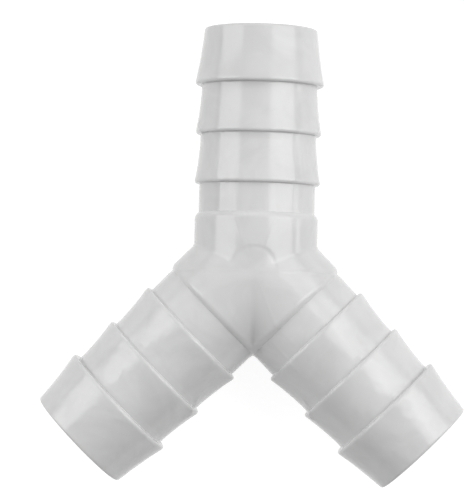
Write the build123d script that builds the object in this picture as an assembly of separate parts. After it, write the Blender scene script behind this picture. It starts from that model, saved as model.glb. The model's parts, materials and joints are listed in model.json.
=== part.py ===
from build123d import *
from math import hypot, radians, tan
import os

# Y-shaped hose connector, injection moulded in one piece from a stiff light grey plastic.
# Three equal arms with hose barbs lie in the XY plane. The stem leaves along +Y and the two
# branches leave either side of -Y. The part is lying down, so +Z is the face that looks up.
# The origin is the centre of the stem's mouth. Lengths are millimetres, angles are degrees.

# Passage and wall
hose_bore = 26.0            # diameter of the three passages
wall = 3.0                  # wall of the plain neck
branch_spread = 90.0        # angle between the two branches
mouth_chamfer = 0.4         # inner lip of each mouth

# Collar where the three arms run together
collar_height = 1.0         # collar above the neck
shoulder_length = 1.8       # slope from the collar down to the neck
crotch_margin = 0.2         # how far that slope ends beyond the crotch
crease_round = 1.0          # rounding in the three valleys between the collars

# Hose barbs
plain_length = 7.9          # plain neck between the shoulder and the first barb
barb_count = 3              # barbs on each arm, the end barb included
barb_pitch = 13.7
barb_height = 1.33          # crest of the inner barbs above the neck
barb_land = 2.1             # plain neck left between a ramp and the next step
barb_hollow = 0.15          # how far a ramp sags below a straight line
end_barb_length = 15.8
end_barb_height = 1.8       # crest of the end barb above the neck
end_barb_hollow = 0.22      # how far the end barb's ramp sags below a straight line
tip_relief = 0.25           # end of the arm below the neck
tip_chamfer = 0.45          # outer lip of each mouth
crest_chamfer = 0.35        # broken edge along each crest

# Round marks of the mould on the middle of the junction
insert_radius = 6.4         # shallow round mark on the upper face
insert_depth = 0.25
gate_radius = 3.0           # well on the lower face where the plastic came in
gate_depth = 0.5

bore_radius = hose_bore / 2
neck_radius = bore_radius + wall
collar_radius = neck_radius + collar_height
barb_radius = neck_radius + barb_height
end_barb_radius = neck_radius + end_barb_height
tip_radius = neck_radius - tip_relief

# Distances from the centre of the junction along each arm
crotch = neck_radius / tan(radians(branch_spread / 2))
shoulder_end = crotch + crotch_margin
barb_starts = [shoulder_end + plain_length + k * barb_pitch for k in range(barb_count)]
arm_length = barb_starts[-1] + end_barb_length

# Directions in the XY plane, counted from +X
stem_direction = 90.0
left_direction = 270.0 - branch_spread / 2
right_direction = 270.0 + branch_spread / 2
left_mitre = (stem_direction + left_direction) / 2
right_mitre = (stem_direction + right_direction) / 2 - 180.0
crotch_mitre = 270.0


def barb(start, radius, foot, hollow):
    """Outline of one barb: a square step up, a broken edge, then a hollow ramp to its foot."""
    crest = (radius, start + crest_chamfer)
    waist = ((crest[0] + foot[0]) / 2 - 2 * hollow, (crest[1] + foot[1]) / 2)
    Polyline((neck_radius, start), (radius - crest_chamfer, start), crest)
    Bezier(crest, waist, foot)


def barbed_end():
    """The part of an arm from its first step to its mouth, turned about its own axis, +Y."""
    first, last = barb_starts[0], barb_starts[-1]
    tip = (tip_radius, arm_length - tip_chamfer)
    with BuildSketch() as section:
        with BuildLine():
            Polyline((0, arm_length), (0, first), (neck_radius, first))
            for start in barb_starts[:-1]:
                step = (neck_radius, start + barb_pitch)
                foot = (neck_radius, start + barb_pitch - barb_land)
                barb(start, barb_radius, foot, barb_hollow)
                Line(foot, step)
            barb(last, end_barb_radius, tip, end_barb_hollow)
            Polyline(tip, (tip_radius - tip_chamfer, arm_length), (0, arm_length))
        make_face()
    return revolve(section.sketch, Axis.Y)


def collar_waste():
    """What is turned off a collar beyond its length to leave the shoulder and the neck."""
    slope = shoulder_length / collar_height
    rise = collar_height + 2 * crease_round
    end = barb_starts[0] + wall
    section = Polyline(
        (neck_radius, shoulder_end),
        (neck_radius + rise, shoulder_end - rise * slope),
        (neck_radius + rise, end),
        (neck_radius, end),
        close=True,
    )
    return revolve(make_face(section), Axis.Y)


def side_of(direction, turn):
    """Everything on one side of the upright plane through the junction along a direction."""
    reach = 4 * arm_length
    half = Box(reach, reach, reach, align=(Align.CENTER, Align.MIN, Align.CENTER))
    return Rot(0, 0, direction + turn) * half


def three_ways(blank):
    """Three copies of a round blank that points along +Y, mitred where they meet."""
    sectors = (
        (stem_direction, right_mitre, left_mitre),
        (left_direction, left_mitre, crotch_mitre),
        (right_direction, crotch_mitre, right_mitre),
    )
    arms = [
        Rot(0, 0, direction - stem_direction) * blank & side_of(low, 0) & side_of(high, 180)
        for direction, low, high in sectors
    ]
    return arms[0] + arms[1] + arms[2]


def extruded_disc(radius, height):
    return extrude(Circle(radius), height)


def rod(radius, length):
    """A round bar that runs along +Y, and far enough back to fill the junction."""
    back = 2 * radius
    return Pos(0, -back, 0) * Rot(-90, 0, 0) * extruded_disc(radius, back + length)


def insert_mark():
    """What the round mark on the upper face takes away: its floor follows the collars."""
    plug = Pos(0, 0, collar_radius / 2) * extruded_disc(insert_radius, collar_radius)
    return plug - three_ways(rod(collar_radius - insert_depth, collar_radius))


def gate_well():
    """What the gate's well on the lower face takes away."""
    return Pos(0, 0, gate_depth - collar_radius) * extruded_disc(gate_radius, -collar_radius)


def creases(body):
    """Edges in the valleys between the collars, but not those inside the round mark."""
    mitres = [Plane.XZ.rotated((0, 0, mitre)) for mitre in (left_mitre, right_mitre, crotch_mitre)]

    def in_valley(edge):
        spots = [edge @ share for share in (0, 0.5, 1)]
        middle = spots[1]
        flush = any(all(abs(mitre.to_local_coords(spot).Z) < 1e-4 for spot in spots) for mitre in mitres)
        return flush and hypot(middle.X, middle.Y) > insert_radius

    return [edge for edge in body.edges() if in_valley(edge)]


def mouth_edges(body):
    """The round inner edge at each mouth."""
    rims = [edge for edge in body.edges() if edge.geom_type == GeomType.CIRCLE]
    return [
        edge
        for edge in rims
        if abs(edge.radius - bore_radius) < 1e-4
        and abs(hypot(edge.arc_center.X, edge.arc_center.Y) - arm_length) < 1e-4
    ]


def hub():
    """The three collars run together, with rounded valleys, and turned down to the necks."""
    body = three_ways(rod(collar_radius, barb_starts[0]))
    body = body - insert_mark() - gate_well()
    body = fillet(creases(body), crease_round)
    return body - three_ways(collar_waste())


def y_connector():
    body = hub()
    for direction in (stem_direction, left_direction, right_direction):
        body = body + Rot(0, 0, direction - stem_direction) * barbed_end()
    body = body - three_ways(rod(bore_radius, arm_length + wall))
    body = chamfer(mouth_edges(body), mouth_chamfer)
    return Pos(0, -arm_length, 0) * body


os.makedirs("parts", exist_ok=True)
export_step(y_connector(), "parts/y_connector.step")
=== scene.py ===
import json
from math import cos, pi, radians, sin, tan

import bpy
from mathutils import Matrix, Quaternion, Vector


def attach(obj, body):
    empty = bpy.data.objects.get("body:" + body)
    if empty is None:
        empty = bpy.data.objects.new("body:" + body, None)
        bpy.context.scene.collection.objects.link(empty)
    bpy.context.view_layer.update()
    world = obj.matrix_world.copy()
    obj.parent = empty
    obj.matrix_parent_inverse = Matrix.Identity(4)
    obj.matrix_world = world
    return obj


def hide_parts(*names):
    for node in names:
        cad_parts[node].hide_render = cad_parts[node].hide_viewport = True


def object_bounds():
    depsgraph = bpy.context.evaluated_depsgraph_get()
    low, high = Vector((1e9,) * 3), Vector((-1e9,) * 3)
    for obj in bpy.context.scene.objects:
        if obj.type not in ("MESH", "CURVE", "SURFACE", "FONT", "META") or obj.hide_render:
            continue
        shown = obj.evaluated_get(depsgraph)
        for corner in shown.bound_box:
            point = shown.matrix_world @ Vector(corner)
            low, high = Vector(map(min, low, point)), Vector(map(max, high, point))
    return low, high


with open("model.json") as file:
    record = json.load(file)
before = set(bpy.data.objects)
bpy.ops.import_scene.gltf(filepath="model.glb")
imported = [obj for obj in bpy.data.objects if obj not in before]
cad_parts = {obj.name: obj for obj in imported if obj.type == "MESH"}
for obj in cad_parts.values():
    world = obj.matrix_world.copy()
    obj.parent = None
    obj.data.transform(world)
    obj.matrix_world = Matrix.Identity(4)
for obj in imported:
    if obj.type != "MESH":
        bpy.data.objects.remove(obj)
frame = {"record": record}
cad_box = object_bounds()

# A Y-shaped hose connector, injection moulded in one piece from a light grey plastic.
# It lies flat on a white floor: the stem along +Y, the two branches either side of -Y.
# Lengths are metres. A size written in millimetres is multiplied by MM.
MM = 0.001
CAD_NODE = "y_connector"

# What the frame gives
mounts = {mount["name"]: mount for mount in frame["record"]["mounts"]}
stem_mouth = Vector(mounts["stem_bore"]["pos_m"])
stem_axis = Vector(mounts["stem_bore"]["axis"])
left_mouth = Vector(mounts["left_bore"]["pos_m"])
left_axis = Vector(mounts["left_bore"]["axis"])
bore_radius = mounts["stem_bore"]["dims"]["r_mm"] * MM
end_crest_radius = mounts["stem_barbs"]["dims"]["r_mm"] * MM
barbed_length = mounts["stem_barbs"]["dims"]["length_mm"] * MM
branch_turn = stem_axis.angle(left_axis)
junction = left_mouth - left_axis * ((left_mouth - stem_mouth).x / left_axis.x)
arm_length = (stem_mouth - junction).length

# Sizes of the moulding
neck_radius = 16.0 * MM
collar_radius = 17.0 * MM
collar_end = 14.2 * MM              # where the shoulder starts, from the middle of the junction
shoulder_end = 16.2 * MM
shoulder_bulge = 2.4                # 1 is a straight slope, and 2 a parabola
valley_round = 1.0 * MM             # rounding where two collars run together
barb_pitch = 13.7 * MM
barb_crest_radius = 17.33 * MM
barb_land = 2.1 * MM                # plain neck between a ramp and the next step
barb_hollow = 0.15 * MM             # how far a ramp sags below a straight line
end_barb_hollow = 0.22 * MM
crest_flat = 1.0 * MM               # from a step to where its ramp starts
crest_round = 0.72 * MM
crest_blend = 1.0 * MM              # rounding where the flat passes into the ramp
root_round = 0.2 * MM
foot_round = 4.0 * MM
tip_radius = 15.65 * MM             # where the last ramp would meet the plane of the mouth
tip_round = 0.7 * MM
mouth_bevel = 0.4 * MM
mark_radius = 6.2 * MM              # round mark on the upper face
mark_offset = 0.7 * MM              # its middle lies a little towards the stem
mark_depth = 0.20 * MM              # at its stem side: the pin that left it stood at a slant
gate_radius = 3.0 * MM              # well on the lower face
gate_depth = 0.5 * MM
mark_edge = 0.5 * MM                # width of the soft edge round both
parting_height = 0.05 * MM          # ridge where the two halves of the mould met
parting_width = 0.5 * MM

# How finely the body is divided
around = 216                        # faces round an arm, a multiple of four
valley_reach = collar_end - 0.3 * MM    # rows nearer than this are pushed out to the valleys
valley_rows = 34
shoulder_rows = 14
hub_end = shoulder_end + 1.3 * MM   # the last row of the hub, on the plain neck
bore_rows = 12
root_steps = 3                      # faces in the arcs of the outline
crest_steps = 6
blend_steps = 3
ramp_steps = 4
foot_steps = 2
tip_steps = 7
ramp_share = 0.8                    # how much of a ramp's length its hollow arc takes up
small_round = 1.0 * MM              # an arc below this radius gets one more row on either side,
edge_row = 0.06 * MM                # this far away, so that the faces beside it stay flat
settle_steps = 48                   # the rows stand still to a thousandth of a millimetre by then
merge_distance = 0.004 * MM
sharp_fold = radians(33)            # a sharper edge isn't shaded smooth
same_count = 0.1                    # whole numbers that differ by less are the same


def add(tree, kind, inputs=None, **settings):
    """Adds a node with its settings. Each input is given a value, or a link if it is a socket."""
    node = tree.nodes.new(kind)
    for name, value in settings.items():
        setattr(node, name, value)
    for name, value in (inputs or {}).items():
        if isinstance(value, bpy.types.NodeSocket):
            tree.links.new(value, node.inputs[name])
        else:
            node.inputs[name].default_value = value
    return node


def linear(hex_colour):
    """A colour written as sRGB hex, as the linear RGBA that the sockets take."""
    parts = [int(hex_colour[i:i + 2], 16) / 255 for i in (1, 3, 5)]
    return [p / 12.92 if p <= 0.04045 else ((p + 0.055) / 1.055) ** 2.4 for p in parts] + [1.0]


# The arm's outline
def rounded(before, corner, after, radius, steps):
    """Points of the arc that rounds a corner between two straight runs."""
    way_in = (corner - before).normalized()
    way_out = (after - corner).normalized()
    turn = way_in.angle_signed(way_out)
    start = corner - way_in * radius * tan(abs(turn) / 2)
    inward = Vector((way_in.y, -way_in.x)) * (1 if turn > 0 else -1)
    turns = [abs(turn) * k / steps for k in range(steps + 1)]
    arc = [start + radius * (way_in * sin(a) + inward * (1 - cos(a))) for a in turns]
    if radius < small_round:
        arc = [arc[0] - way_in * edge_row] + arc + [arc[-1] + way_out * edge_row]
    return arc


def barb_corners(start, crest_radius, foot, hollow):
    """Corners of one barb, each with its rounding and its steps: root, crest, flat and hollow ramp.

    The ramp's corner lies twice as deep as its rounded line sags.
    """
    root = Vector((neck_radius, start))
    crest = Vector((crest_radius, start))
    brow = Vector((crest_radius, start + crest_flat))
    waist = (brow + foot) / 2 - Vector((2 * hollow, 0))
    bend = abs((waist - brow).angle_signed(foot - waist))
    ramp_round = ramp_share * (waist - brow).length / tan(bend / 2)
    return [
        (root, root_round, root_steps),
        (crest, crest_round, crest_steps),
        (brow, crest_blend, blend_steps),
        (waist, ramp_round, ramp_steps),
    ]


def arm_corners():
    """Corners of an arm's outside, from the first barb's root to the tip."""
    first = arm_length - barbed_length
    corners = []
    for start in (first, first + barb_pitch):
        foot = Vector((neck_radius, start + barb_pitch - barb_land))
        corners += barb_corners(start, barb_crest_radius, foot, barb_hollow)
        corners.append((foot, foot_round, foot_steps))
    tip = Vector((tip_radius, arm_length))
    corners += barb_corners(first + 2 * barb_pitch, end_crest_radius, tip, end_barb_hollow)
    return corners + [(tip, tip_round, tip_steps)]


def arm_outline():
    """An arm's outline as (radius, distance along it), from the valley to the mouth and back inside.

    It also gives the number of rows on the hub. Their radius is set later, by plain_radius.
    """
    shoulder_reach = shoulder_end - valley_reach
    hub = [valley_reach * k / valley_rows for k in range(valley_rows)]
    hub += [valley_reach + shoulder_reach * k / shoulder_rows for k in range(shoulder_rows + 1)]
    hub += [shoulder_end + edge_row, hub_end]
    points = [Vector((neck_radius, along)) for along in hub]
    corners = arm_corners()
    mouth = Vector((bore_radius, arm_length))
    stops = [points[-1]] + [corner for corner, _, _ in corners] + [mouth]
    for before, (corner, radius, steps), after in zip(stops, corners, stops[2:]):
        points += rounded(before, corner, after, radius, steps)
    points += [mouth + Vector((mouth_bevel, 0)), mouth - Vector((0, mouth_bevel))]
    points.append(Vector((bore_radius, arm_length / 2)))
    points += [Vector((bore_radius, valley_reach * (1 - k / bore_rows))) for k in range(bore_rows + 1)]
    return points, len(hub)


def has_parting_ridge(point):
    """The ridge runs along the outside, but the mould is trimmed flush on the sealing crests."""
    low_enough = bore_radius + mouth_bevel < point.x < barb_crest_radius - crest_round
    return low_enough and point.y < arm_length - tip_round


def outline_mesh():
    """The outline as a line of edges. Its attributes mark what the tree below does to each row."""
    points, hub_count = arm_outline()
    mesh = bpy.data.meshes.new("arm_outline")
    mesh.from_pydata([(p.x, p.y, 0) for p in points], [(k, k + 1) for k in range(len(points) - 1)], [])
    on_hub = mesh.attributes.new("on_hub", "FLOAT", "POINT")
    on_hub.data.foreach_set("value", [float(k < hub_count) for k in range(len(points))])
    ridge = mesh.attributes.new("ridge", "FLOAT", "POINT")
    ridge.data.foreach_set("value", [float(has_parting_ridge(p)) for p in points])
    return mesh


# The body: one arm's outline turned round, three times, and mitred in the middle
stored_on_points = {
    "row": "FLOAT_VECTOR",          # radius and distance along the arm, as in the outline
    "turn": "FLOAT",                # angle round the arm from its upper side
    "on_hub": "FLOAT",              # 1 on the hub's rows
    "ridge": "FLOAT",               # 1 on the parting line
    "arm": "FLOAT",                 # 0 on the stem, -1 and 1 on the branches
    "place": "FLOAT_VECTOR",        # distance along the arm and radius, once the rows are pushed out
}
body_sizes = {
    "Branch Turn": branch_turn,
    "Collar Radius": collar_radius,
    "Neck Radius": neck_radius,
    "Collar End": collar_end,
    "Shoulder End": shoulder_end,
    "Shoulder Bulge": shoulder_bulge,
    "Valley Round": valley_round,
    "Valley Reach": valley_reach,
    "Mark Radius": mark_radius,
    "Mark Offset": mark_offset,
    "Mark Depth": mark_depth,
    "Mark Edge": mark_edge,
    "Gate Radius": gate_radius,
    "Gate Depth": gate_depth,
    "Parting Height": parting_height,
    "Parting Width": parting_width,
}


def turned_arm(tree, sizes, stored):
    """The outline's rows carried round a circle, as a sheet that still lies flat.

    Each point keeps its row's place in "row", its turn from the top in "turn", and on "on_hub" and
    "ridge" what the row has. The columns beside the two parting lines stand close to them.
    """
    outline = sizes["Geometry"]
    rows = add(tree, "GeometryNodeAttributeDomainSize", {0: outline}, component="MESH").outputs["Point Count"]
    columns = add(tree, "FunctionNodeIntegerMath", {0: sizes["Around"], 1: 1}, operation="ADD").outputs[0]
    sheet = add(tree, "GeometryNodeMeshGrid", {"Vertices X": rows, "Vertices Y": columns}).outputs["Mesh"]
    index = add(tree, "GeometryNodeInputIndex").outputs[0]
    row = add(tree, "FunctionNodeIntegerMath", {0: index, 1: columns}, operation="DIVIDE_FLOOR").outputs[0]
    column = add(tree, "FunctionNodeIntegerMath", {0: index, 1: columns}, operation="MODULO").outputs[0]

    half = add(tree, "ShaderNodeMath", {0: sizes["Around"], 1: 2.0}, operation="DIVIDE").outputs[0]
    quarter = add(tree, "ShaderNodeMath", {0: half, 1: 2.0}, operation="DIVIDE").outputs[0]
    step = add(tree, "ShaderNodeMath", {0: pi, 1: half}, operation="DIVIDE").outputs[0]
    in_half = add(tree, "ShaderNodeMath", {0: column, 1: half}, operation="FLOORED_MODULO").outputs[0]
    from_line = add(tree, "ShaderNodeMath", {0: in_half, 1: quarter}, operation="SUBTRACT").outputs[0]
    line = add(tree, "ShaderNodeMath", {0: column, 1: from_line}, operation="SUBTRACT").outputs[0]
    apart = add(tree, "ShaderNodeMath", {0: from_line}, operation="ABSOLUTE").outputs[0]
    beside = add(tree, "ShaderNodeMath", {0: apart, 1: 1.0, 2: same_count}, operation="COMPARE").outputs[0]
    across = add(tree, "ShaderNodeMath", {0: sizes["Neck Radius"], 1: 2.0}, operation="MULTIPLY").outputs[0]
    near = add(tree, "ShaderNodeMath", {0: sizes["Parting Width"], 1: across}, operation="DIVIDE").outputs[0]
    close = add(tree, "ShaderNodeMath", {0: near, 1: step}, operation="DIVIDE").outputs[0]
    pull = add(tree, "ShaderNodeMix", {"Factor": beside, "A": 1.0, "B": close}).outputs[0]
    placed = add(tree, "ShaderNodeMath", {0: from_line, 1: pull, 2: line}, operation="MULTIPLY_ADD")
    turn = add(tree, "ShaderNodeMath", {0: placed.outputs[0], 1: step}, operation="MULTIPLY").outputs[0]
    on_line = add(tree, "ShaderNodeMath", {0: apart, 1: 0.0, 2: same_count}, operation="COMPARE").outputs[0]

    place = add(tree, "GeometryNodeInputPosition").outputs[0]
    row_place = add(tree, "GeometryNodeSampleIndex", {"Geometry": outline, "Value": place, "Index": row},
                    data_type="FLOAT_VECTOR").outputs[0]
    on_hub = add(tree, "GeometryNodeSampleIndex",
                 {"Geometry": outline, "Value": stored["on_hub"], "Index": row}).outputs[0]
    ridge = add(tree, "GeometryNodeSampleIndex",
                {"Geometry": outline, "Value": stored["ridge"], "Index": row}).outputs[0]
    on_ridge = add(tree, "ShaderNodeMath", {0: ridge, 1: on_line}, operation="MULTIPLY").outputs[0]
    sheet = add(tree, "GeometryNodeStoreNamedAttribute", {
        "Geometry": sheet, "Name": "row", "Value": row_place,
    }, data_type="FLOAT_VECTOR", domain="POINT").outputs[0]
    for name, value in (("turn", turn), ("on_hub", on_hub), ("ridge", on_ridge)):
        sheet = add(tree, "GeometryNodeStoreNamedAttribute", {
            "Geometry": sheet, "Name": name, "Value": value,
        }, data_type="FLOAT", domain="POINT").outputs[0]
    return sheet


def heading(tree, sizes, arm):
    """Unit vector along an arm: arm 0 is the stem, and 1 and -1 turn away from it to the branches."""
    angle = add(tree, "ShaderNodeMath", {0: arm, 1: sizes["Branch Turn"], 2: pi / 2},
                operation="MULTIPLY_ADD").outputs[0]
    x = add(tree, "ShaderNodeMath", {0: angle}, operation="COSINE").outputs[0]
    y = add(tree, "ShaderNodeMath", {0: angle}, operation="SINE").outputs[0]
    return add(tree, "ShaderNodeCombineXYZ", {"X": x, "Y": y}).outputs[0]


def plain_radius(tree, sizes, stored, along):
    """Radius of an arm's collar, shoulder or neck at a distance along it, or else the row's own.

    The shoulder rises from a crease at the neck and rounds off into the collar.
    """
    way_down = add(tree, "ShaderNodeMapRange", {
        "Value": along, "From Min": sizes["Collar End"], "From Max": sizes["Shoulder End"],
    }).outputs[0]
    fallen = add(tree, "ShaderNodeMath", {0: way_down, 1: sizes["Shoulder Bulge"]},
                 operation="POWER").outputs[0]
    shoulder = add(tree, "ShaderNodeMix", {
        "Factor": fallen, "A": sizes["Collar Radius"], "B": sizes["Neck Radius"],
    }).outputs[0]
    own = add(tree, "ShaderNodeSeparateXYZ", {0: stored["row"]}).outputs["X"]
    return add(tree, "ShaderNodeMix", {"Factor": stored["on_hub"], "A": own, "B": shoulder}).outputs[0]


def spot(tree, axis, out, along, radius):
    """The point at a distance along an arm and a radius out from its axis."""
    foot = add(tree, "ShaderNodeVectorMath", {0: axis, "Scale": along}, operation="SCALE").outputs[0]
    side = add(tree, "ShaderNodeVectorMath", {0: out, "Scale": radius}, operation="SCALE").outputs[0]
    return add(tree, "ShaderNodeVectorMath", {0: foot, 1: side}, operation="ADD").outputs[0]


def beside_arm(tree, sizes, stored, axis, out, point, height, radius, other):
    """What another arm does to a point of this one.

    It gives how far along the mitre between them lies, and how much a round valley lifts the point.
    The lift is a smooth union's: a quarter of the width on the mitre, falling to nothing where the
    two heights differ by the width. A rounding of an even radius would have the width radius times
    fold, which is 1 where the arms meet at a right angle. The root of fold makes the valley wider
    where they meet at a flat angle, so that no line shows on top of the junction.
    """
    other_axis = heading(tree, sizes, other)
    lean = add(tree, "ShaderNodeVectorMath", {0: out, 1: other_axis},
               operation="DOT_PRODUCT").outputs["Value"]
    cross = add(tree, "ShaderNodeVectorMath", {0: axis, 1: other_axis},
                operation="DOT_PRODUCT").outputs["Value"]
    open_share = add(tree, "ShaderNodeMath", {0: 1.0, 1: cross}, operation="SUBTRACT").outputs[0]
    slope = add(tree, "ShaderNodeMath", {0: lean, 1: open_share}, operation="DIVIDE").outputs[0]
    mitre = add(tree, "ShaderNodeMath", {0: slope, 1: radius}, operation="MULTIPLY").outputs[0]

    along = add(tree, "ShaderNodeVectorMath", {0: point, 1: other_axis},
                operation="DOT_PRODUCT").outputs["Value"]
    foot = add(tree, "ShaderNodeVectorMath", {0: other_axis, "Scale": along}, operation="SCALE").outputs[0]
    away = add(tree, "ShaderNodeVectorMath", {0: point, 1: foot}, operation="SUBTRACT").outputs[0]
    distance = add(tree, "ShaderNodeVectorMath", {0: away}, operation="LENGTH").outputs["Value"]
    other_out = add(tree, "ShaderNodeVectorMath", {0: away}, operation="NORMALIZE").outputs[0]
    facing = add(tree, "ShaderNodeVectorMath", {0: out, 1: other_out},
                 operation="DOT_PRODUCT").outputs["Value"]
    fold = add(tree, "ShaderNodeMath", {0: 1.0, 1: facing}, operation="SUBTRACT").outputs[0]
    soft = add(tree, "ShaderNodeMath", {0: fold, 1: 0.5}, operation="POWER").outputs[0]
    width = add(tree, "ShaderNodeMath", {0: soft, 1: sizes["Valley Round"]}, operation="MULTIPLY").outputs[0]
    other_radius = plain_radius(tree, sizes, stored, along)
    other_height = add(tree, "ShaderNodeMath", {0: distance, 1: other_radius},
                       operation="SUBTRACT").outputs[0]
    gap = add(tree, "ShaderNodeMath", {0: other_height, 1: height}, operation="SUBTRACT").outputs[0]
    gap = add(tree, "ShaderNodeMath", {0: gap}, operation="ABSOLUTE").outputs[0]
    share = add(tree, "ShaderNodeMath", {0: gap, 1: width}, operation="DIVIDE").outputs[0]
    within = add(tree, "ShaderNodeMath", {0: 1.0, 1: share}, operation="SUBTRACT", use_clamp=True).outputs[0]
    square = add(tree, "ShaderNodeMath", {0: within, 1: within}, operation="MULTIPLY").outputs[0]
    lift = add(tree, "ShaderNodeMath", {0: square, 1: width}, operation="MULTIPLY").outputs[0]
    lift = add(tree, "ShaderNodeMath", {0: lift, 1: 4.0}, operation="DIVIDE").outputs[0]
    return mitre, lift


def settle(tree, sizes, stored, body, axis, out):
    """Pushes the rows out to the mitres and lifts them in the valleys, by half steps that settle.

    "place" holds each point's distance along its arm and its radius.
    """
    zone_in = tree.nodes.new("GeometryNodeRepeatInput")
    zone_out = tree.nodes.new("GeometryNodeRepeatOutput")
    zone_in.pair_with_output(zone_out)
    zone_in.inputs["Iterations"].default_value = settle_steps
    tree.links.new(body, zone_in.inputs["Geometry"])
    place = add(tree, "ShaderNodeSeparateXYZ", {0: stored["place"]})
    along, radius = place.outputs["X"], place.outputs["Y"]
    row_along = add(tree, "ShaderNodeSeparateXYZ", {0: stored["row"]}).outputs["Y"]
    plain = plain_radius(tree, sizes, stored, along)
    height = add(tree, "ShaderNodeMath", {0: radius, 1: plain}, operation="SUBTRACT").outputs[0]
    point = spot(tree, axis, out, along, radius)
    lifted = add(tree, "ShaderNodeMath", {0: stored["ridge"], 1: sizes["Parting Height"], 2: plain},
                 operation="MULTIPLY_ADD").outputs[0]
    mitre = 0.0
    for other in (-1.0, 0.0, 1.0):
        other_mitre, lift = beside_arm(tree, sizes, stored, axis, out, point, height, radius, other)
        mitre = add(tree, "ShaderNodeMath", {0: mitre, 1: other_mitre}, operation="MAXIMUM").outputs[0]
        lifted = add(tree, "ShaderNodeMath", {0: lifted, 1: lift}, operation="ADD").outputs[0]
    reach = add(tree, "ShaderNodeMath", {0: mitre, 1: sizes["Valley Reach"]}, operation="MAXIMUM").outputs[0]
    pushed = add(tree, "ShaderNodeMapRange", {
        "Value": row_along, "From Max": sizes["Valley Reach"], "To Min": mitre, "To Max": reach,
    }).outputs[0]
    new_along = add(tree, "ShaderNodeMath", {0: pushed, 1: row_along}, operation="MAXIMUM").outputs[0]
    target = add(tree, "ShaderNodeCombineXYZ", {"X": new_along, "Y": lifted}).outputs[0]
    now = add(tree, "ShaderNodeCombineXYZ", {"X": along, "Y": radius}).outputs[0]
    between = add(tree, "ShaderNodeMix", {"Factor": 0.5, 4: now, 5: target}, data_type="VECTOR").outputs[1]
    moved = add(tree, "GeometryNodeStoreNamedAttribute", {
        "Geometry": zone_in.outputs["Geometry"], "Name": "place", "Value": between,
    }, data_type="FLOAT_VECTOR", domain="POINT").outputs[0]
    tree.links.new(moved, zone_out.inputs["Geometry"])
    return zone_out.outputs["Geometry"]


def recess(tree, sizes, point, share, which):
    """Depth of the round mark on the upper face, or of the well on the lower one, times its share."""
    across = add(tree, "ShaderNodeVectorMath", {0: point, 1: (1.0, 1.0, 0.0)},
                 operation="MULTIPLY").outputs[0]
    distance = add(tree, "ShaderNodeVectorMath", {0: across}, operation="LENGTH").outputs["Value"]
    radius = sizes[which + " Radius"]
    half_edge = add(tree, "ShaderNodeMath", {0: sizes["Mark Edge"], 1: 2.0}, operation="DIVIDE").outputs[0]
    inner = add(tree, "ShaderNodeMath", {0: radius, 1: half_edge}, operation="SUBTRACT").outputs[0]
    outer = add(tree, "ShaderNodeMath", {0: radius, 1: half_edge}, operation="ADD").outputs[0]
    depth = add(tree, "ShaderNodeMapRange", {
        "Value": distance, "From Min": inner, "From Max": outer,
        "To Min": sizes[which + " Depth"], "To Max": 0.0,
    }, interpolation_type="SMOOTHSTEP").outputs[0]
    return add(tree, "ShaderNodeMath", {0: depth, 1: share}, operation="MULTIPLY").outputs[0]


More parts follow.
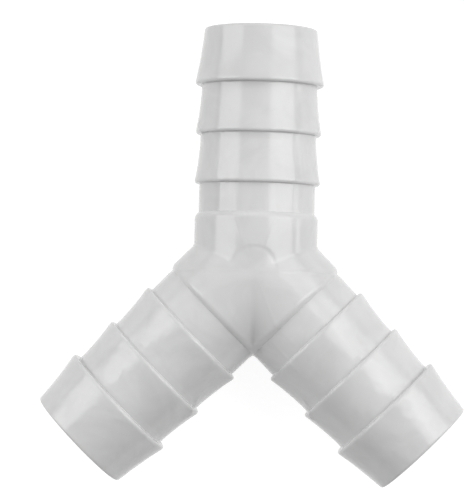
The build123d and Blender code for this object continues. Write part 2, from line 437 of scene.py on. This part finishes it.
def body_tree():
    """Geometry nodes that turn the outline of one arm into the whole moulding."""
    tree = bpy.data.node_groups.new("three_barbed_arms", "GeometryNodeTree")
    tree.interface.new_socket(name="Geometry", in_out="OUTPUT", socket_type="NodeSocketGeometry")
    inputs = {"Geometry": "NodeSocketGeometry", "Around": "NodeSocketInt"}
    inputs.update(dict.fromkeys(body_sizes, "NodeSocketFloat"))
    inputs.update({"Junction": "NodeSocketVector", "Material": "NodeSocketMaterial"})
    for name, kind in inputs.items():
        tree.interface.new_socket(name=name, in_out="INPUT", socket_type=kind)
    sizes = add(tree, "NodeGroupInput").outputs
    stored = {
        name: add(tree, "GeometryNodeInputNamedAttribute", {"Name": name}, data_type=kind).outputs[0]
        for name, kind in stored_on_points.items()
    }

    arm = turned_arm(tree, sizes, stored)
    starts = add(tree, "GeometryNodeMeshLine", {"Count": 3, "Offset": (0, 0, 0)}).outputs[0]
    index = add(tree, "GeometryNodeInputIndex").outputs[0]
    number = add(tree, "ShaderNodeMath", {0: index, 1: 1.0}, operation="SUBTRACT").outputs[0]
    starts = add(tree, "GeometryNodeStoreNamedAttribute", {
        "Geometry": starts, "Name": "arm", "Value": number,
    }, data_type="FLOAT", domain="POINT").outputs[0]
    arms = add(tree, "GeometryNodeInstanceOnPoints", {"Points": starts, "Instance": arm}).outputs[0]
    body = add(tree, "GeometryNodeRealizeInstances", {"Geometry": arms}).outputs[0]

    # Each point's direction along its arm, and out from the arm's axis
    axis = heading(tree, sizes, stored["arm"])
    up_share = add(tree, "ShaderNodeMath", {0: stored["turn"]}, operation="COSINE").outputs[0]
    side_share = add(tree, "ShaderNodeMath", {0: stored["turn"]}, operation="SINE").outputs[0]
    up = add(tree, "ShaderNodeCombineXYZ", {"Z": up_share}).outputs[0]
    sideways = add(tree, "ShaderNodeVectorMath", {0: (0, 0, 1), 1: axis},
                   operation="CROSS_PRODUCT").outputs[0]
    side = add(tree, "ShaderNodeVectorMath", {0: sideways, "Scale": side_share}, operation="SCALE").outputs[0]
    out = add(tree, "ShaderNodeVectorMath", {0: side, 1: up}, operation="ADD").outputs[0]

    row = add(tree, "ShaderNodeSeparateXYZ", {0: stored["row"]})
    first_place = add(tree, "ShaderNodeCombineXYZ", {"X": row.outputs["Y"], "Y": row.outputs["X"]}).outputs[0]
    body = add(tree, "GeometryNodeStoreNamedAttribute", {
        "Geometry": body, "Name": "place", "Value": first_place,
    }, data_type="FLOAT_VECTOR", domain="POINT").outputs[0]
    body = settle(tree, sizes, stored, body, axis, out)

    # The two recesses. The mark fades out on the side away from the stem.
    place = add(tree, "ShaderNodeSeparateXYZ", {0: stored["place"]})
    along, radius = place.outputs["X"], place.outputs["Y"]
    point = spot(tree, axis, out, along, radius)
    upper = add(tree, "ShaderNodeMath", {0: up_share, 1: 0.0}, operation="GREATER_THAN").outputs[0]
    lower = add(tree, "ShaderNodeMath", {0: 1.0, 1: upper}, operation="SUBTRACT").outputs[0]
    shift = add(tree, "ShaderNodeCombineXYZ", {"Y": sizes["Mark Offset"]}).outputs[0]
    from_mark = add(tree, "ShaderNodeVectorMath", {0: point, 1: shift}, operation="SUBTRACT").outputs[0]
    stemward = add(tree, "ShaderNodeSeparateXYZ", {0: from_mark}).outputs["Y"]
    gone = add(tree, "ShaderNodeMath", {0: sizes["Mark Radius"], 1: -0.5}, operation="MULTIPLY").outputs[0]
    slant = add(tree, "ShaderNodeMapRange", {
        "Value": stemward, "From Min": gone, "From Max": sizes["Mark Radius"], "To Max": upper,
    }).outputs[0]
    mark = recess(tree, sizes, from_mark, slant, "Mark")
    gate = recess(tree, sizes, point, lower, "Gate")
    sunk = add(tree, "ShaderNodeMath", {0: gate, 1: mark}, operation="SUBTRACT").outputs[0]
    sunk = add(tree, "ShaderNodeMath", {0: sunk, 1: stored["on_hub"]}, operation="MULTIPLY").outputs[0]
    change = add(tree, "ShaderNodeCombineXYZ", {"Z": sunk}).outputs[0]
    point = add(tree, "ShaderNodeVectorMath", {0: point, 1: change}, operation="ADD").outputs[0]
    point = add(tree, "ShaderNodeVectorMath", {0: point, 1: sizes["Junction"]}, operation="ADD").outputs[0]

    body = add(tree, "GeometryNodeSetPosition", {"Geometry": body, "Position": point}).outputs[0]
    body = add(tree, "GeometryNodeMergeByDistance", {"Geometry": body, "Distance": merge_distance}).outputs[0]
    body = add(tree, "GeometryNodeSetShadeSmooth", {"Geometry": body}, domain="FACE").outputs[0]
    fold = add(tree, "GeometryNodeInputMeshEdgeAngle").outputs["Unsigned Angle"]
    sharp = add(tree, "ShaderNodeMath", {0: fold, 1: sharp_fold}, operation="GREATER_THAN").outputs[0]
    body = add(tree, "GeometryNodeSetShadeSmooth", {
        "Geometry": body, "Selection": sharp, "Shade Smooth": False,
    }, domain="EDGE").outputs[0]
    body = add(tree, "GeometryNodeRealizeInstances", {"Geometry": body}).outputs[0]
    body = add(tree, "GeometryNodeSetMaterial", {"Geometry": body, "Material": sizes["Material"]}).outputs[0]
    add(tree, "NodeGroupOutput", {"Geometry": body})
    return tree


def add_moulded_body(material):
    """The moulding as a plain mesh that stands for the CAD solid."""
    outline = bpy.data.objects.new("arm_outline", outline_mesh())
    bpy.context.scene.collection.objects.link(outline)
    modifier = outline.modifiers.new("arms", "NODES")
    modifier.node_group = body_tree()
    values = {"Around": around, "Junction": tuple(junction), "Material": material, **body_sizes}
    for item in modifier.node_group.interface.items_tree:
        if item.in_out == "INPUT" and item.name in values:
            modifier[item.identifier] = values[item.name]
    graph = bpy.context.evaluated_depsgraph_get()
    mesh = bpy.data.meshes.new_from_object(outline.evaluated_get(graph))
    bpy.data.objects.remove(outline)
    mesh.name = "moulded_body"
    mesh.materials.clear()
    mesh.materials.append(material)
    for name in stored_on_points:
        mesh.attributes.remove(mesh.attributes[name])
    body = bpy.data.objects.new("moulded_body", mesh)
    bpy.context.scene.collection.objects.link(body)
    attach(body, "root")
    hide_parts(CAD_NODE)


def moulded_polypropylene():
    """Light grey polypropylene as it left a polished steel mould.

    The eye gets a satin gloss. The thick wall shrank unevenly as it cooled, so the skin waves a
    little and highlights break into soft patches. Where the flow cooled early the skin is a shade
    paler or duller.
    """
    material = bpy.data.materials.new("moulded_polypropylene")
    material.use_nodes = True
    tree = material.node_tree
    tree.nodes.clear()
    place = add(tree, "ShaderNodeTexCoord").outputs["Object"]

    # Shrinkage: swells 6 mm apart. The noise fills half of the range given here, so they are a
    # hundredth of a millimetre high on the stem, and a tenth from 20 mm down the branches.
    swell = add(tree, "ShaderNodeTexNoise", {
        "Vector": place, "Scale": 1 / (6.0 * MM), "Detail": 1.0, "Roughness": 0.5, "Distortion": 0.4,
    }).outputs[0]
    down_the_branches = add(tree, "ShaderNodeSeparateXYZ", {0: place}).outputs["Y"]
    swell_range = add(tree, "ShaderNodeMapRange", {
        "Value": down_the_branches,
        "From Min": junction.y, "From Max": junction.y - 20.0 * MM,
        "To Min": 0.02 * MM, "To Max": 0.25 * MM,
    }).outputs[0]
    height = add(tree, "ShaderNodeMath", {0: swell, 1: swell_range}, operation="MULTIPLY").outputs[0]
    swelled = add(tree, "ShaderNodeBump", {"Height": height, "Strength": 1.0, "Distance": 1.0}).outputs[0]

    # Grain of the mould's polish. It is 0.05 mm in truth and 0.5 mm here, the finest that can show.
    grain = add(tree, "ShaderNodeTexNoise", {
        "Vector": place, "Scale": 1 / (0.5 * MM), "Detail": 2.0, "Roughness": 0.5,
    }).outputs[0]
    skin = add(tree, "ShaderNodeBump", {
        "Height": grain, "Strength": 1.0, "Distance": 0.0006 * MM, "Normal": swelled,
    }).outputs[0]

    # Flow marks: drifts 14 mm wide, drawn out a little by the distortion
    drift = add(tree, "ShaderNodeTexNoise", {
        "Vector": place, "Scale": 1 / (14.0 * MM), "Detail": 3.0, "Roughness": 0.6, "Distortion": 0.8,
    }).outputs[0]
    paler = add(tree, "ShaderNodeMapRange", {"Value": drift, "From Min": 0.35, "From Max": 0.65},
                interpolation_type="SMOOTHSTEP").outputs[0]
    colour = add(tree, "ShaderNodeMix", {0: paler, 6: linear("#CFCFCF"), 7: linear("#D5D5D5")},
                 data_type="RGBA").outputs[2]
    duller = add(tree, "ShaderNodeMapRange", {
        "Value": drift, "From Min": 0.3, "From Max": 0.7, "To Min": 0.15, "To Max": 0.21,
    }).outputs[0]
    scuffs = add(tree, "ShaderNodeMapRange", {
        "Value": grain, "From Min": 0.35, "From Max": 0.75, "To Min": -0.01, "To Max": 0.03,
    }).outputs[0]
    roughness = add(tree, "ShaderNodeMath", {0: duller, 1: scuffs}, operation="ADD").outputs[0]
    shader = add(tree, "ShaderNodeBsdfPrincipled", {
        "Base Color": colour,
        "Roughness": roughness,
        "IOR": 1.49,
        "Normal": skin,
    })
    add(tree, "ShaderNodeOutputMaterial", {"Surface": shader.outputs[0]})
    return material


add_moulded_body(moulded_polypropylene())


# Studio
floor_half = 1.5                    # half the floor's side, in metres
floor_glow = 0.90                   # white is 1, and the rest is left to the light, so that shadows show
world_strength = 0.365


def white_paper():
    """White to the camera and in reflections. It takes the object's shadow and gives back little light."""
    material = bpy.data.materials.new("white_paper")
    material.use_nodes = True
    tree = material.node_tree
    tree.nodes.clear()
    paper = add(tree, "ShaderNodeBsdfDiffuse", {"Color": linear("#9A9A9A")})
    path = add(tree, "ShaderNodeLightPath").outputs
    mirrored = add(tree, "ShaderNodeMath", {0: path["Is Glossy Ray"], 1: path["Is Transmission Ray"]},
                   operation="MAXIMUM").outputs[0]
    seen = add(tree, "ShaderNodeMath", {0: path["Is Camera Ray"], 1: mirrored},
               operation="MAXIMUM").outputs[0]
    strength = add(tree, "ShaderNodeMath", {0: seen, 1: floor_glow}, operation="MULTIPLY")
    glow = add(tree, "ShaderNodeEmission", {"Color": linear("#FFFFFF"), "Strength": strength.outputs[0]})
    lit = add(tree, "ShaderNodeAddShader", {0: paper.outputs[0], 1: glow.outputs[0]})
    add(tree, "ShaderNodeOutputMaterial", {"Surface": lit.outputs[0]})
    return material


def add_floor():
    """A flat sheet at the height of the object's lowest point."""
    lowest = cad_box[0][2]
    corners = [(x * floor_half, y * floor_half, lowest) for x, y in ((-1, -1), (1, -1), (1, 1), (-1, 1))]
    mesh = bpy.data.meshes.new("floor")
    mesh.from_pydata(corners, [], [(0, 1, 2, 3)])
    mesh.materials.append(white_paper())
    floor = bpy.data.objects.new("floor", mesh)
    bpy.context.scene.collection.objects.link(floor)


def add_world():
    """An even white room."""
    world = bpy.data.worlds.new("studio")
    world.use_nodes = True
    background = world.node_tree.nodes["Background"]
    background.inputs["Color"].default_value = linear("#FFFFFF")
    background.inputs["Strength"].default_value = world_strength
    bpy.context.scene.world = world


def add_softbox(name, across, along, distance, strength):
    """A rectangular softbox that faces the middle of the junction. Its strength is its brightness.

    across and along are the first and last angle that it fills, in degrees from straight above:
    across leans towards +X, and along then towards +Y.
    """
    lean = radians(sum(across) / 2)
    lift = radians(sum(along) / 2)
    width, height = (2 * distance * tan(radians(last - first) / 2) for first, last in (across, along))
    data = bpy.data.lights.new(name, "AREA")
    data.shape = "RECTANGLE"
    data.size = width
    data.size_y = height
    data.energy = strength * pi * width * height
    lamp = bpy.data.objects.new(name, data)
    lamp.location = junction + distance * Vector((cos(lift) * sin(lean), sin(lift), cos(lift) * cos(lean)))
    lamp.rotation_euler = (-lift, lean, 0)
    bpy.context.scene.collection.objects.link(lamp)


add_floor()
add_world()
# The large pair gives the light bands along the stem, and the strips make its plain parts the brightest
add_softbox("softbox_left", (-80, -36), (-6, 26.5), 0.9, 2.75)
add_softbox("softbox_right", (24, 72), (-4, 26.5), 0.9, 2.95)
add_softbox("strip_left", (-80, -36), (5, 14), 0.8, 0.6)
add_softbox("strip_right", (24, 72), (5, 14), 0.8, 1.6)
# These light the stem's right edge, the sides that look towards +Y, and the right branch
add_softbox("side_right", (80, 90), (-6, 14), 1.0, 3.0)
add_softbox("softbox_back", (-55, 55), (46, 72), 0.9, 0.85)
add_softbox("softbox_far_right", (24, 66), (29, 44), 0.9, 1.0)


# Camera
photo_size = (464, 493)
sensor = 36.0                       # millimetres along the longer side of the picture
lens = 182.2                        # millimetres
camera_distance = 690.0 * MM        # from the middle of the junction
camera_tilt = radians(1.3)          # the camera stands a little towards -Y
camera_side = radians(0.9)          # and a little towards +X
camera_roll = radians(1.47)
junction_pixel = (254.95, 272.05)   # the middle of the junction in the picture


def add_camera():
    """Stands over the object and turns so that the junction falls on its pixel."""
    focal = lens / sensor * max(photo_size)
    off_centre = (junction_pixel[0] - photo_size[0] / 2, junction_pixel[1] - photo_size[1] / 2)
    to_camera = Vector((tan(camera_side), -tan(camera_tilt), 1)).normalized()
    seen_from_lens = Vector((-off_centre[0], off_centre[1], focal)).normalized()
    turn = Quaternion(to_camera, camera_roll) @ seen_from_lens.rotation_difference(to_camera)
    data = bpy.data.cameras.new("camera")
    data.lens = lens
    data.sensor_width = sensor
    camera = bpy.data.objects.new("camera", data)
    camera.rotation_mode = "QUATERNION"
    camera.rotation_quaternion = turn
    camera.location = junction + to_camera * camera_distance
    bpy.context.scene.collection.objects.link(camera)
    bpy.context.scene.camera = camera


add_camera()
bpy.context.scene.view_settings.view_transform = "Standard"
